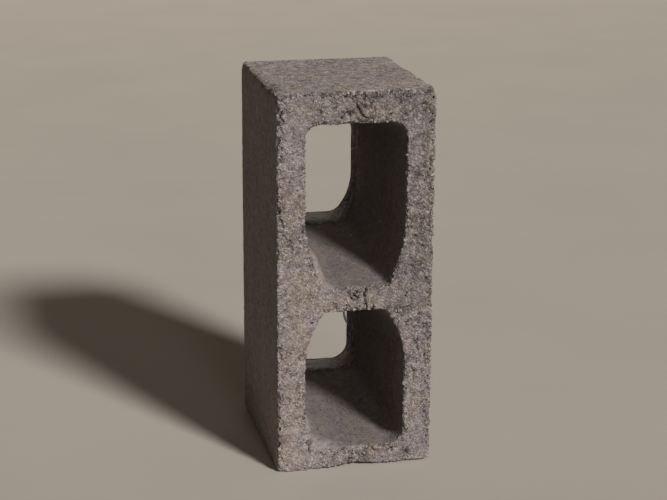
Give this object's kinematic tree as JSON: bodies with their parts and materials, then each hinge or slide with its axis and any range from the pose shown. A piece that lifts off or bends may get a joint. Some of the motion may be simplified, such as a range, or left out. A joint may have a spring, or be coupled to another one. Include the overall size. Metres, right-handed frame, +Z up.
{
  "type": "hollow concrete block",
  "caption": "Hollow concrete masonry block standing on one end, with two tapered cores that run through it between its bed faces.",
  "frame": {"origin": "middle of the end face that the block stands on", "axes": "+Z up along the laid length, +X across the thickness, -Y towards the wide mouths of the cores"},
  "size_m": [0.16, 0.19, 0.39],
  "materials": {
    "concrete": "rough"
  },
  "bodies": {
    "root": {"concrete_block": "concrete"}
  },
  "joints": []
}
